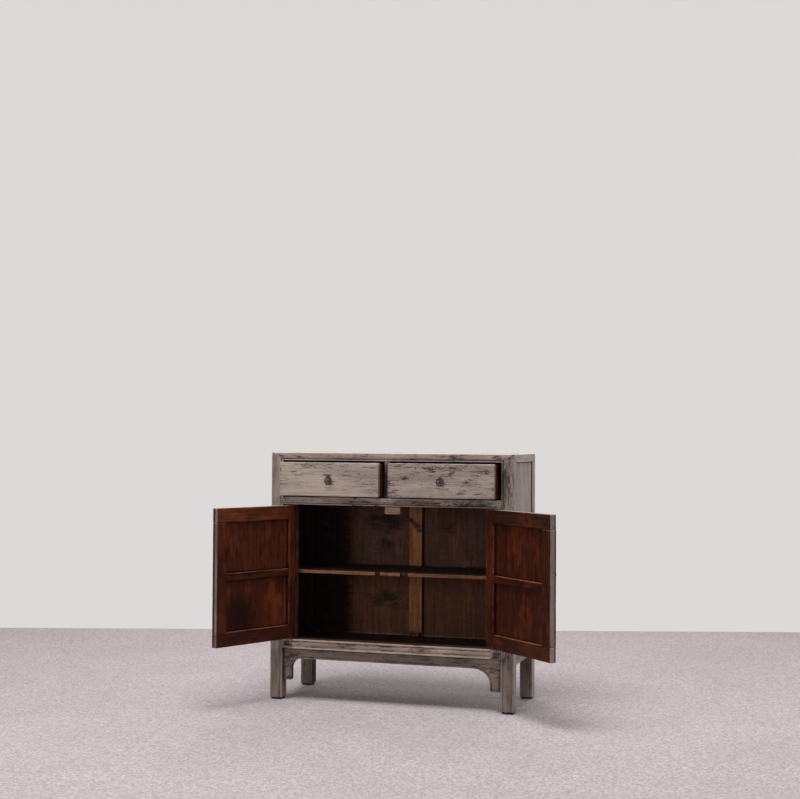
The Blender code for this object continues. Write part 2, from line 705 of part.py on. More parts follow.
def add_door(prefix, sign, open_angle):
    """A framed door, built closed about its pivot; its free stile stands between its rails."""
    pivot = add_joint_empty(f"{prefix}_pivot", (sign * PIVOT_X, PIVOT_Y, 0.0), sign * open_angle)
    half = DOOR_THICKNESS / 2
    stile_inner = HINGE_STILE_WIDTH - HINGE_REACH
    free_inner = DOOR_REACH - DOOR_STILE_WIDTH
    rail_span = mirrored(-sign, stile_inner + FIT, DOOR_REACH)
    panel_span = mirrored(-sign, stile_inner + FIT, free_inner - FIT)
    bottom_rail_top = DOOR_BOTTOM_Z + DOOR_RAIL_HEIGHT
    top_rail_underside = DOOR_TOP_Z - DOOR_RAIL_HEIGHT

    edge_turn = math.degrees(math.asin(half / HINGE_REACH))
    edge = arc((0.0, 0.0), (HINGE_REACH, HINGE_REACH), 180.0 - edge_turn, 180.0 + edge_turn)
    stile_outline = [*edge, (stile_inner, -half), (stile_inner, half)]
    stile_outline = [(-sign * x, y) for x, y in stile_outline]
    hinge_stile = prism(
        f"{prefix}_hinge_stile", stile_outline, "z", DOOR_BOTTOM_Z, DOOR_TOP_Z, RED_LACQUER, pivot
    )
    for end_name, bottom, top in (
        ("lower", DOOR_BOTTOM_Z - PIVOT_LENGTH, DOOR_BOTTOM_Z + PIVOT_LENGTH),
        ("upper", DOOR_TOP_Z - PIVOT_LENGTH, DOOR_TOP_Z + PIVOT_LENGTH),
    ):
        dowel = upright_rod(f"{prefix}_{end_name}_dowel", (0.0, 0.0), PIVOT_RADIUS, bottom, top, pivot)
        combine(hinge_stile, dowel, "UNION")

    free_span = mirrored(-sign, free_inner, DOOR_REACH)
    free_stile = block(
        f"{prefix}_free_stile",
        (free_span[0], -half, bottom_rail_top + FIT),
        (free_span[1], half, top_rail_underside - FIT),
        RED_LACQUER,
        pivot,
    )
    for rail_name, low_z, high_z in (
        ("bottom_rail", DOOR_BOTTOM_Z, bottom_rail_top),
        ("top_rail", top_rail_underside, DOOR_TOP_Z),
    ):
        block(
            f"{prefix}_{rail_name}",
            (rail_span[0], -half, low_z),
            (rail_span[1], half, high_z),
            RED_LACQUER,
            pivot,
        )
    panel_front = -half + DOOR_PANEL_INSET
    panel_back = panel_front + DOOR_PANEL_THICKNESS
    block(
        f"{prefix}_panel",
        (panel_span[0], panel_front, bottom_rail_top + FIT),
        (panel_span[1], panel_back, top_rail_underside - FIT),
        RED_LACQUER,
        pivot,
    )
    middle_z = (DOOR_BOTTOM_Z + DOOR_TOP_Z) / 2
    block(
        f"{prefix}_batten",
        (panel_span[0], panel_back + FIT, middle_z - DOOR_BATTEN_HEIGHT / 2),
        (panel_span[1], half - DOOR_BATTEN_INSET, middle_z + DOOR_BATTEN_HEIGHT / 2),
        RED_LACQUER,
        pivot,
    )
    pull_x = -sign * (DOOR_REACH - DOOR_STILE_WIDTH / 2)
    add_pull(prefix, (pull_x, -half, middle_z + DOOR_PULL_RISE), DOOR_THICKNESS, free_stile, pivot)


add_door("left_door", -1, DOOR_OPEN_LEFT)
add_door("right_door", 1, DOOR_OPEN_RIGHT)
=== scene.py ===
"""The sideboard as it looks: aged boards in worn grey paint and red lacquer, with forged iron pulls."""
import json
import math
import random

import bmesh
import bpy
import numpy as np
from mathutils import Matrix, Vector, noise
from mathutils.bvhtree import BVHTree


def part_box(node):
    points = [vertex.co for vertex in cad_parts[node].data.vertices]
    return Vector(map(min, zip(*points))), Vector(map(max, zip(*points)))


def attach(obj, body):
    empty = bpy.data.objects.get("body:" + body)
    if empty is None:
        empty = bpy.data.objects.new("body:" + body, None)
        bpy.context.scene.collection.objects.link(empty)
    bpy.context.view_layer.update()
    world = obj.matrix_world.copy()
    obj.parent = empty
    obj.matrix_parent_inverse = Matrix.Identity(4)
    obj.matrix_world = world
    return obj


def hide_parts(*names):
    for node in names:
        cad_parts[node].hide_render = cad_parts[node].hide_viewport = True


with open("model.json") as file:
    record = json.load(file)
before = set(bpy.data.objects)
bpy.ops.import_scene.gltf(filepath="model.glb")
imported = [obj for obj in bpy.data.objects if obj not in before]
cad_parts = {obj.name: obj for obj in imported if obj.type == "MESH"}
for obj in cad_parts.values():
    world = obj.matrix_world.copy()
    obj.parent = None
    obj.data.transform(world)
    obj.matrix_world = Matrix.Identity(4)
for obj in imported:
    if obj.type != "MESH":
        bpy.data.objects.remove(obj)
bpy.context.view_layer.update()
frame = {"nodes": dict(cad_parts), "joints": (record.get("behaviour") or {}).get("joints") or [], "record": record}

NODES = frame["nodes"]
BODIES = frame["record"]["behaviour"]["bodies"]
JOINTS = {joint["name"]: joint for joint in frame["joints"]}
SILL_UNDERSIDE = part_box("sill_rail")[0].z
SHELF_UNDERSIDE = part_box("shelf")[0].z

# Camera, as worked out from the photo, in metres and degrees
CAMERA_PLACE = (1.5271, -4.8664, 0.9542)
CAMERA_YAW = 17.6139
CAMERA_PITCH = 1.6116
CAMERA_ROLL = 0.3223
CAMERA_FOCAL_PIXELS = 1379.2
PHOTO_WIDTH_PIXELS = 800
SENSOR_WIDTH = 36.0

# Room: how far the floor reaches ahead of the camera, behind it and to each side
FLOOR_AHEAD = 6.9
FLOOR_BEHIND = 5.0
FLOOR_HALF_WIDTH = 9.0
# Light from all around, and its colour
AMBIENT = 0.31
AMBIENT_COLOUR = (1.0, 0.985, 0.97, 1.0)
# Lights: name, place, aim, size and watts
LIGHTS = (
    ("overhead", (-0.2, -1.3, 4.6), (0.0, 0.0, 0.2), (2.6, 1.9), 178.0),
    ("window", (-1.9, -4.0, 1.3), (0.0, 0.0, 0.5), (1.0, 1.2), 35.0),
    ("side", (3.4, 0.9, 1.6), (0.4, 0.0, 0.5), (2.0, 2.0), 24.0),
    ("behind", (-0.6, 3.6, 3.4), (-0.3, 1.6, 0.0), (3.0, 2.0), 46.0),
)

# Ageing of the boards: lengths in metres, counts and strengths
ARRIS = 0.0016
ARRIS_SEGMENTS = 3
GRID_ALONG = 0.012
GRID_ACROSS = 0.014
RIM_LOOP = 0.006
CUT_CLEAR_OF_GROOVE = 0.002
WAVINESS = 0.00022
CHIP_DEPTH = 0.0010
CHIP_REACH = 0.003
SET_BACK = 0.004
WEAR_REACH = 0.0045
TOP_EDGE_REACH = 0.001
# Reach, ray start, ray count and gain of the darkening where other boards crowd a point: grime, and painted shade
# in corners and joints
GRIME_AND_SHADE_REACH = 0.020
GRIME_AND_SHADE_RAY_START = 0.0006
GRIME_AND_SHADE_RAYS = 12
GRIME_AND_SHADE_GAIN = 1.6
# Most of a board's thickness that its rounded arrises and its dents may take
ARRIS_SHARE = 0.15
DENT_SHARE = 0.3
# Least turn between the faces at an arris, in radians, and most between faces that are one, in degrees
ARRIS_TURN = 0.6
FLAT_DEGREES = 0.5
# Board width, in rim loops, above which a board has a loop of cuts near its rim
RIM_LOOP_ROOM = 3.5
# Cycles to the metre of the dents, where chips begin in their noise, and how far patterns lie apart
SLOW_WAVES = 9.0
QUICK_WAVES = 48.0
CHIPS_FROM = 0.1
PATTERN_SPREAD = 40.0

# Distances under which two points are one, and under which a point lies on a cut, and to no edge at all
WELD = 1e-6
ON_CUT = 1e-5
FAR = 1.0
# Lead that the earlier axis has when a normal leans equally along two
AXIS_LEAD = 0.001
# Profile of a bevel that makes it round
ROUND = 0.5

# Beads run along some edges, each set off by a groove
BEAD = 0.0052
POST_BEAD = 0.008
DOOR_BEAD = 0.020
BOARD_GAP_HALF_WIDTH = 0.0032
GROOVE_HALF_WIDTH = 0.0014
GROOVE_DEPTH = 0.0014
# The apron's groove stops this many beads below its top edge
APRON_GROOVE_END = 2.5

# Thin dark soles under the feet
SOLE_HEIGHT = 0.005
SOLE_INSET = 0.0045
SOLE_ROUNDING = 0.0006
SOLE_GRID = 0.006
FOOT_ROUNDING = 0.0035
ROUNDING_SEGMENTS = 2

# Forged iron: depth and cycles to the metre of its hammering, and rounds of smoothing
HAMMERED_DEPTH = 0.00012
HAMMERED_WAVES = 160.0
SMOOTHING_ROUNDS = 2

# Dark marks, on the back of a door's boards and on the front of all others: their place as seen from the front
# with the doors shut, their reach to each side and up or down, and their strength. Some are painted shade, as
# noted below.
MARKS = {
    "left_drawer_front": (
        # The first mark, round the pull, is partly a stain and partly painted shade of the ring
        (-0.2180, 0.804, 0.013, 0.020, 0.80), (-0.048, 0.806, 0.014, 0.024, 0.45),
        (-0.0600, 0.770, 0.020, 0.014, 0.35), (-0.2165, 0.857, 0.220, 0.010, 0.42),
        (-0.3550, 0.845, 0.040, 0.010, 0.40), (-0.160, 0.835, 0.030, 0.010, 0.40),
        (-0.4040, 0.805, 0.009, 0.060, 0.42),
    ),
    "right_drawer_front": (
        # The first mark, round the pull, is partly a stain and partly painted shade of the ring
        (0.1995, 0.804, 0.013, 0.020, 0.84), (0.238, 0.828, 0.013, 0.012, 0.65),
        (0.3000, 0.800, 0.026, 0.008, 0.60), (0.062, 0.815, 0.034, 0.009, 0.60),
        (0.3720, 0.842, 0.018, 0.014, 0.55), (0.200, 0.852, 0.210, 0.014, 0.50),
        (0.3400, 0.835, 0.050, 0.012, 0.50), (0.170, 0.835, 0.020, 0.010, 0.55),
        (0.2760, 0.765, 0.014, 0.014, 0.40), (0.030, 0.770, 0.020, 0.016, 0.35),
        (0.0080, 0.800, 0.012, 0.080, 0.38),
    ),
    "post_front_right": (
        (0.429, 0.862, 0.016, 0.022, 0.60), (0.424, 0.830, 0.012, 0.030, 0.50),
        (0.426, 0.757, 0.014, 0.026, 0.65), (0.436, 0.164, 0.007, 0.012, 0.70),
        (0.430, 0.715, 0.016, 0.014, 0.50), (0.428, 0.800, 0.028, 0.110, 0.58),
        (0.440, 0.888, 0.030, 0.012, 0.50), (0.432, 0.192, 0.030, 0.026, 0.42),
    ),
    "post_front_left": (
        (-0.440, 0.835, 0.008, 0.040, 0.45), (-0.428, 0.725, 0.012, 0.020, 0.45),
    ),
    "top_front_rail": (
        (0.143, 0.881, 0.050, 0.005, 0.55), (0.240, 0.882, 0.040, 0.006, 0.60),
        (-0.100, 0.883, 0.060, 0.005, 0.40), (0.395, 0.885, 0.030, 0.010, 0.50),
        (0.262, 0.888, 0.012, 0.006, 0.55),
    ),
    # The mullion's mark is painted shade in the slot between the two drawer fronts
    "drawer_mullion": ((-0.008, 0.785, 0.030, 0.100, 0.82),),
    "drawer_rail": (
        (0.160, 0.724, 0.070, 0.006, 0.45), (0.380, 0.720, 0.030, 0.010, 0.40),
        # The last mark is painted shade under the right drawer front
        (0.290, 0.722, 0.140, 0.022, 0.50),
    ),
    "front_apron": (
        (-0.385, 0.150, 0.024, 0.030, 0.40), (0.385, 0.150, 0.024, 0.024, 0.40),
        (0.330, 0.165, 0.050, 0.008, 0.35),
    ),
    "sill_rail": (
        # The first mark, at the left end, is painted shade under the left door
        (-0.391, 0.205, 0.020, 0.020, 0.80), (0.100, 0.205, 0.090, 0.007, 0.40),
        (-0.170, 0.205, 0.070, 0.007, 0.40), (0.394, 0.205, 0.022, 0.030, 0.72),
    ),
    "back_board_left": (
        # The first two marks, over the board's left part, are painted shadow of the left post and the open left
        # door
        (-0.410, 0.450, 0.110, 0.600, 1.00), (-0.315, 0.450, 0.070, 0.600, 1.00),
        (-0.115, 0.638, 0.115, 0.056, 0.76), (-0.116, 0.550, 0.056, 0.048, 0.62),
        (-0.114, 0.346, 0.112, 0.052, 0.70),
    ),
    "back_board_right": ((0.132, 0.616, 0.070, 0.034, 0.56), (0.380, 0.450, 0.030, 0.600, 0.50)),
    "back_batten": (
        (-0.012, 0.645, 0.018, 0.013, 0.90), (0.006, 0.628, 0.020, 0.015, 0.95),
        (0.024, 0.608, 0.016, 0.014, 0.90), (0.006, 0.210, 0.060, 0.028, 0.65),
    ),
    "shelf": ((0.280, 0.465, 0.230, 0.050, 0.42),),
    "left_door_panel": ((-0.060, 0.450, 0.110, 0.500, 0.46), (-0.130, 0.320, 0.190, 0.160, 0.74)),
    "right_door_top_rail": ((0.136, 0.681, 0.020, 0.014, 0.85),),
}

# Share of the usual wear on the edges of a board other than its top edges; the top edges keep all of it, their
# paler arris partly painted highlight of light from above
OTHER_EDGES_WORN = {"left_drawer_front": 0.45, "right_drawer_front": 0.45, "front_apron": 0.35}
for side in ("left", "right"):
    for board in ("free_stile", "top_rail", "bottom_rail", "batten"):
        OTHER_EDGES_WORN[side + "_door_" + board] = 0.25
# Share of the usual grime and painted shade in the corners of a board; on the side panels it paints the shade of
# their recess under the rails and beside the back posts
CORNER_GRIME_AND_SHADE = {"sill_rail": 0.5, "side_panel_left": 1.9, "side_panel_right": 1.9}
# Each door's side that meets the other door, and the share of its depth that is lacquered, from the front
MEETING_EDGES = {"left": ("R", 0.5), "right": ("L", 0.26)}
# The rounded edge of a hinge stile is painted where its faces lean further forward than this
STILE_PAINTED_FROM = -0.2


def tone(red, green, blue):
    """A colour given as it looks on a screen, out of 255, as the renderer counts light."""
    def light(value):
        value /= 255.0
        return value / 12.92 if value <= 0.04045 else ((value + 0.055) / 1.055) ** 2.4
    return (light(red), light(green), light(blue), 1.0)


def tones(*shades):
    """The tones of several colours."""
    return [tone(*shade) for shade in shades]


class Shader:
    """A material's node tree, with a short call for each kind of node used here."""

    def __init__(self, name, shine=0.5):
        self.material = bpy.data.materials.new(name)
        self.material.use_nodes = True
        self.tree = self.material.node_tree
        self.surface = self.tree.nodes["Principled BSDF"]
        self.surface.inputs["Specular IOR Level"].default_value = shine

    def node(self, kind, inputs, **settings):
        """A new node with its settings made and each input linked or set."""
        made = self.tree.nodes.new(kind)
        for key, value in settings.items():
            setattr(made, key, value)
        for key, value in inputs.items():
            if isinstance(value, bpy.types.NodeSocket):
                self.tree.links.new(value, made.inputs[key])
            else:
                made.inputs[key].default_value = value
        return made

    def attribute(self, name, output="Fac"):
        """A value stored at the vertices of the mesh."""
        return self.node("ShaderNodeAttribute", {}, attribute_name=name).outputs[output]

    def board_values(self):
        """What aged_board stores at each vertex: place on the board, nearness to an edge, and grime with painted
        shade.
        """
        return self.attribute("board", "Vector"), self.attribute("edge"), self.attribute("grime_and_shade")

    def noise(self, place, cycles, detail=4.0, roughness=0.6, distortion=0.0):
        """Noise with this many cycles to the metre along the board, across it and through it."""
        spread = self.node("ShaderNodeVectorMath", {0: place, 1: cycles}, operation="MULTIPLY")
        inputs = {"Vector": spread.outputs[0], "Scale": 1.0, "Detail": detail, "Roughness": roughness,
                  "Distortion": distortion}
        return self.node("ShaderNodeTexNoise", inputs).outputs[0]

    def span(self, value, low, high, first=0.0, last=1.0):
        """Eases from the first number to the last while the value goes from low to high."""
        inputs = {"Value": value, "From Min": low, "From Max": high, "To Min": first, "To Max": last}
        return self.node("ShaderNodeMapRange", inputs, interpolation_type="SMOOTHSTEP").outputs[0]

    def math(self, operation, first, second):
        """One operation on two values."""
        return self.node("ShaderNodeMath", {0: first, 1: second}, operation=operation).outputs[0]

    def swayed(self, value, sway, share):
        """The value plus a share of how far the sway is from one half."""
        inputs = {0: sway, 1: share, 2: -0.5 * share}
        part = self.node("ShaderNodeMath", inputs, operation="MULTIPLY_ADD")
        return self.math("ADD", value, part.outputs[0])

    def mix(self, factor, first, second):
        """The first colour where the factor is 0, going over to the second where it is 1."""
        return self.node("ShaderNodeMix", {0: factor, 6: first, 7: second}, data_type="RGBA").outputs[2]

    def finish(self, colour, roughness, height, bump, depth=0.0005):
        """Joins colour, roughness and relief to the surface."""
        relief = self.node("ShaderNodeBump", {"Strength": bump, "Distance": depth, "Height": height})
        self.tree.links.new(colour, self.surface.inputs["Base Color"])
        self.tree.links.new(roughness, self.surface.inputs["Roughness"])
        self.tree.links.new(relief.outputs[0], self.surface.inputs["Normal"])
        return self.material


# The first and the third of these tones darken corners, grooves and marks with grime and painted shade; the first
# also colours specks
GRIME_AND_SHADE_TONE = tone(30, 22, 19)
DASH = tone(54, 43, 38)
DEEP_GRIME_AND_SHADE_TONE = tone(12, 7, 6)
BARED_WOOD = tone(92, 56, 40)
WALL = tone(219, 218, 216)
RUBBED_PAINT = (184, 166, 153)


def worn_paint(name, pale, body, dark, mottling=0.5, streaks=0.8, wear=0.8, few=0.0,
               rubbed_to=RUBBED_PAINT):
    """Old paint over wood: mottled, with dark dashes along the grain, rubbed edges, and corners and grooves
    darkened by grime and painted shade.
    """
    shader = Shader(name, shine=0.35)
    pale, body, dark, rubbed_to = tones(pale, body, dark, rubbed_to)
    place, edge, grime_and_shade = shader.board_values()
    patch = shader.noise(place, (4.0, 22.0, 22.0), detail=4.0, roughness=0.6)
    cloud = shader.noise(place, (14.0, 55.0, 55.0), detail=5.0, roughness=0.65, distortion=0.4)
    dash = shader.noise(place, (34.0, 260.0, 260.0), detail=3.0, roughness=0.6, distortion=0.2)
    line = shader.noise(place, (9.0, 330.0, 330.0), detail=3.0, roughness=0.6)
    fibre = shader.noise(place, (80.0, 1000.0, 1000.0), detail=3.0, roughness=0.7)
    speck = shader.noise(place, (260.0, 380.0, 380.0), detail=2.0, roughness=0.6)
    colour = shader.mix(shader.span(patch, 0.38, 0.62), body, pale)
    colour = shader.mix(shader.span(line, 0.46, 0.70, last=0.45), colour, dark)
    colour = shader.mix(shader.span(cloud, 0.52, 0.76, last=mottling), colour, dark)
    colour = shader.mix(shader.span(fibre, 0.46, 0.78, last=0.35), colour, dark)
    gathered = shader.swayed(shader.swayed(dash, cloud, 0.7), grime_and_shade, 0.30)
    dashes = shader.span(gathered, 0.46 + few, 0.53 + 1.4 * few, last=streaks)
    colour = shader.mix(dashes, colour, DASH)
    pits = shader.span(shader.swayed(speck, grime_and_shade, 0.30), 0.53, 0.58, last=0.85)
    colour = shader.mix(pits, colour, GRIME_AND_SHADE_TONE)
    open_edge = shader.math("SUBTRACT", edge, grime_and_shade)
    rubbed = shader.swayed(shader.swayed(open_edge, cloud, 0.8), fibre, 0.4)
    colour = shader.mix(shader.span(rubbed, 0.40, 0.75, last=wear), colour, rubbed_to)
    bared = shader.swayed(shader.swayed(open_edge, patch, 1.6), dash, 0.7)
    colour = shader.mix(shader.span(bared, 0.90, 1.15, last=0.85), colour, BARED_WOOD)
    # Darkening by grime, and painted shade in corners, grooves and some marks
    soiled_and_shaded = shader.swayed(shader.swayed(grime_and_shade, cloud, 0.5), line, 0.5)
    colour = shader.mix(shader.span(soiled_and_shaded, 0.32, 0.85, last=0.9), colour, GRIME_AND_SHADE_TONE)
    relief = shader.math("SUBTRACT", fibre, shader.math("ADD", dashes, pits))
    roughness = shader.span(cloud, 0.3, 0.7, 0.55, 0.8)
    return shader.finish(colour, roughness, relief, bump=0.45)


def lacquer(name, light, body, dark, worn, patches=0.6):
    """Thin brown-red lacquer: streaks along the grain, brighter rubbed patches and worn arrises."""
    shader = Shader(name, shine=0.11)
    light, body, dark, worn = tones(light, body, dark, worn)
    place, edge, grime_and_shade = shader.board_values()
    patch = shader.noise(place, (5.0, 11.0, 11.0), detail=4.0, roughness=0.6)
    streak = shader.noise(place, (7.0, 120.0, 120.0), detail=5.0, roughness=0.65, distortion=0.4)
    fibre = shader.noise(place, (40.0, 700.0, 700.0), detail=3.0, roughness=0.7)
    cloud = shader.noise(place, (26.0, 44.0, 44.0), detail=4.0, roughness=0.65)
    colour = shader.mix(shader.span(shader.swayed(streak, cloud, 0.5), 0.24, 0.66), dark, body)
    lit = shader.swayed(shader.swayed(patch, streak, 0.25), cloud, 0.3)
    colour = shader.mix(shader.span(lit, 0.46, 0.70, last=patches), colour, light)
    fibres = shader.swayed(fibre, cloud, 0.4)
    colour = shader.mix(shader.span(fibres, 0.50, 0.75, last=0.55), colour, dark)
    open_edge = shader.math("SUBTRACT", edge, grime_and_shade)
    rubbed = shader.swayed(shader.swayed(open_edge, cloud, 0.8), streak, 0.6)
    colour = shader.mix(shader.span(rubbed, 0.45, 0.80, last=0.6), colour, worn)
    # Darkening by grime, and painted shade in corners, grooves and some marks
    soiled_and_shaded = shader.swayed(shader.swayed(grime_and_shade, cloud, 0.4), streak, 0.4)
    colour = shader.mix(shader.span(soiled_and_shaded, 0.30, 0.80, last=0.85), colour, DEEP_GRIME_AND_SHADE_TONE)
    roughness = shader.span(cloud, 0.3, 0.7, 0.38, 0.60)
    return shader.finish(colour, roughness, fibre, bump=0.25, depth=0.0004)


def bare_wood(name, light, body, dark, dust, dusting=0.3, wear=0.4):
    """Old unpainted wood: broad and fine grain, dusty smears, and corners darkened by grime and painted shade."""
    shader = Shader(name, shine=0.25)
    light, body, dark, dust = tones(light, body, dark, dust)
    place, edge, grime_and_shade = shader.board_values()
    patch = shader.noise(place, (4.0, 12.0, 12.0), detail=4.0, roughness=0.6)
    streak = shader.noise(place, (6.0, 110.0, 110.0), detail=5.0, roughness=0.65, distortion=0.6)
    fibre = shader.noise(place, (45.0, 800.0, 800.0), detail=3.0, roughness=0.7)
    smear = shader.noise(place, (45.0, 22.0, 22.0), detail=4.0, roughness=0.6)
    scratch = shader.noise(place, (190.0, 16.0, 16.0), detail=3.0, roughness=0.6)
    colour = shader.mix(shader.span(streak, 0.34, 0.64), dark, body)
    lit = shader.swayed(patch, streak, 0.6)
    colour = shader.mix(shader.span(lit, 0.5, 0.72, last=0.7), colour, light)
    colour = shader.mix(shader.span(fibre, 0.47, 0.76, last=0.45), colour, dark)
    colour = shader.mix(shader.span(smear, 0.50, 0.72, last=dusting), colour, dust)
    rubbed = shader.swayed(shader.math("SUBTRACT", edge, grime_and_shade), smear, 1.0)
    colour = shader.mix(shader.span(rubbed, 0.45, 0.80, last=wear), colour, light)
    # Darkening by grime, and painted shade in corners, grooves and some marks
    soiled_and_shaded = shader.swayed(shader.swayed(grime_and_shade, smear, 0.8), streak, 1.0)
    soiled_and_shaded = shader.swayed(soiled_and_shaded, scratch, 0.6)
    colour = shader.mix(shader.span(soiled_and_shaded, 0.30, 0.80, last=0.9), colour, DEEP_GRIME_AND_SHADE_TONE)
    roughness = shader.span(smear, 0.3, 0.7, 0.6, 0.85)
    return shader.finish(colour, roughness, fibre, bump=0.35)


def old_iron(name):
    """Dark forged iron with a little rust."""
    shader = Shader(name)
    place = shader.node("ShaderNodeTexCoord", {}).outputs["Object"]
    rust = shader.noise(place, (260.0, 260.0, 260.0), detail=4.0, roughness=0.6)
    hammered = shader.noise(place, (700.0, 700.0, 700.0), detail=3.0, roughness=0.6)
    colour = shader.mix(shader.span(rust, 0.45, 0.7), tone(46, 41, 40), tone(72, 43, 32))
    shader.surface.inputs["Metallic"].default_value = 0.5
    roughness = shader.span(rust, 0.35, 0.7, 0.45, 0.8)
    return shader.finish(colour, roughness, hammered, bump=0.5, depth=0.0003)


def carpet(name):
    """Pale lilac-grey carpet of short tufts."""
    shader = Shader(name, shine=0.1)
    place = shader.node("ShaderNodeTexCoord", {}).outputs["Object"]
    tuft = shader.node("ShaderNodeTexVoronoi", {"Vector": place, "Scale": 170.0})
    drift = shader.noise(place, (2.5, 2.5, 2.5), detail=3.0, roughness=0.5)
    trodden = shader.noise(place, (60.0, 60.0, 60.0), detail=3.0, roughness=0.7)
    colour = shader.mix(shader.span(drift, 0.3, 0.7), tone(199, 188, 190), tone(207, 196, 198))
    colour = shader.mix(shader.span(trodden, 0.3, 0.7, last=0.2), colour, tone(168, 158, 161))
    shaded = shader.span(tuft.outputs["Color"], 0.2, 0.8, last=0.75)
    colour = shader.mix(shaded, colour, tone(158, 148, 151))
    height = shader.span(tuft.outputs["Distance"], 0.0, 0.7, 1.0, 0.0)
    roughness = shader.span(drift, 0.3, 0.7, 0.85, 0.95)
    return shader.finish(colour, roughness, height, bump=0.35, depth=0.002)


# Worn paints: pale, body and dark tone, then how strong the mottling, the streaks and the wear are,
# how few dashes there are, and the tone of rubbed edges
PAINTS = (
    ("drawer_paint", (180, 164, 150), (154, 139, 131), (88, 76, 73), 0.6, 0.75, 0.8, 0.022,
     (206, 189, 176)),
    ("dull_drawer_paint", (172, 156, 143), (147, 132, 124), (82, 70, 66), 0.65, 0.8, 0.7, 0.014,
     (200, 183, 170)),
    ("frame_paint", (166, 150, 140), (122, 106, 98), (46, 35, 30), 0.85, 0.95, 0.7, -0.012),
    ("post_paint", (155, 139, 130), (131, 115, 107), (64, 51, 45), 0.6, 0.8, 0.6, 0.008),
    ("leg_paint", (136, 119, 109), (114, 98, 89), (68, 54, 47), 0.5, 0.6, 0.5, 0.028),
    # The back legs' paint is darker: painted shade under the cabinet
    ("back_leg_paint", (112, 97, 88), (92, 77, 69), (50, 40, 35), 0.4, 0.6, 0.25, 0.03),
    ("rail_paint", (174, 158, 148), (146, 130, 122), (72, 58, 52), 0.65, 0.85, 0.6, 0.008),
    ("sill_paint", (170, 151, 139), (142, 123, 112), (68, 52, 45), 0.6, 0.8, 0.6, 0.006),
    ("top_paint", (228, 210, 194), (210, 191, 175), (160, 140, 126), 0.4, 0.5),
    ("side_paint", (170, 157, 151), (152, 139, 133), (102, 89, 84), 0.4, 0.6, 0.8, 0.01),
    ("side_rail_paint", (190, 176, 170), (172, 158, 152), (118, 104, 99), 0.4, 0.6, 0.8, 0.01),
    ("apron_paint", (134, 117, 108), (110, 94, 86), (58, 46, 41), 0.6, 0.8, 0.35),
    ("door_paint", (160, 145, 136), (138, 124, 116), (72, 60, 55), 0.5, 0.8, 0.8, 0.02),
    ("right_edge_paint", (154, 134, 122), (132, 112, 101), (84, 66, 57), 0.5, 0.6, 0.5, 0.03),
    ("left_edge_paint", (138, 114, 99), (106, 84, 71), (54, 39, 31), 0.5, 0.6, 0.6, 0.03),
)
# Lacquers: light, body, dark and worn tone, then how strong the bright patches are
LACQUERS = (
    ("edge_lacquer", (104, 60, 40), (66, 36, 24), (32, 17, 12), (104, 70, 52)),
    ("left_door_lacquer", (146, 69, 37), (92, 44, 27), (46, 21, 13), (116, 74, 48), 0.5),
    ("left_stile_lacquer", (108, 51, 27), (68, 31, 18), (35, 15, 9), (116, 74, 48)),
    ("left_rail_lacquer", (144, 72, 42), (100, 50, 30), (54, 26, 16), (136, 88, 60)),
    ("right_door_lacquer", (102, 43, 16), (63, 26, 11), (31, 12, 6), (106, 66, 42)),
    ("right_stile_lacquer", (100, 44, 17), (60, 25, 11), (31, 12, 6), (112, 70, 44)),
    ("right_rail_lacquer", (86, 40, 20), (54, 24, 13), (28, 12, 7), (100, 62, 40)),
    ("worn_lacquer", (172, 116, 80), (134, 86, 58), (88, 52, 34), (150, 110, 84)),
    ("drawer_lacquer", (150, 76, 44), (112, 60, 39), (62, 32, 22), (150, 98, 68)),
)
# Bare woods: light, body, dark and dusty tone, then how strong the dust and the wear are
WOODS = (
    ("inside_wood", (56, 38, 31), (40, 26, 21), (24, 15, 12), (60, 46, 40)),
    ("cupboard_floor", (60, 34, 24), (40, 21, 15), (22, 11, 8), (52, 35, 28), 0.2),
    ("sill_top", (104, 60, 36), (58, 33, 22), (34, 18, 13), (70, 48, 38), 0.2, 0.8),
    ("inner_back", (116, 68, 47), (89, 52, 38), (64, 37, 27), (112, 82, 70), 0.5),
    ("low_back", (122, 70, 40), (93, 53, 31), (66, 37, 21), (114, 80, 60), 0.4),
    ("joint_dust", (168, 120, 96), (140, 98, 80), (96, 66, 54), (160, 130, 116), 0.4),
    ("back_wood", (112, 88, 72), (90, 68, 56), (60, 44, 36), (120, 106, 96)),
    ("batten_wood", (188, 127, 76), (158, 104, 60), (106, 64, 35), (168, 124, 88)),
    ("shelf_edge", (146, 98, 64), (118, 75, 48), (76, 45, 28), (134, 98, 74), 0.3, 0.6),
    ("stop_wood", (196, 166, 143), (171, 139, 116), (122, 93, 74), (186, 166, 149)),
    ("drawer_wood", (132, 100, 76), (110, 82, 62), (78, 56, 42), (134, 116, 102)),
    ("sole", (30, 24, 22), (20, 16, 15), (12, 9, 8), (40, 34, 31)),
)
MATERIALS = {}
for make, kinds in ((worn_paint, PAINTS), (lacquer, LACQUERS), (bare_wood, WOODS)):
    for kind in kinds:
        MATERIALS[kind[0]] = make(*kind)
MATERIALS["forged_iron"] = old_iron("forged_iron")

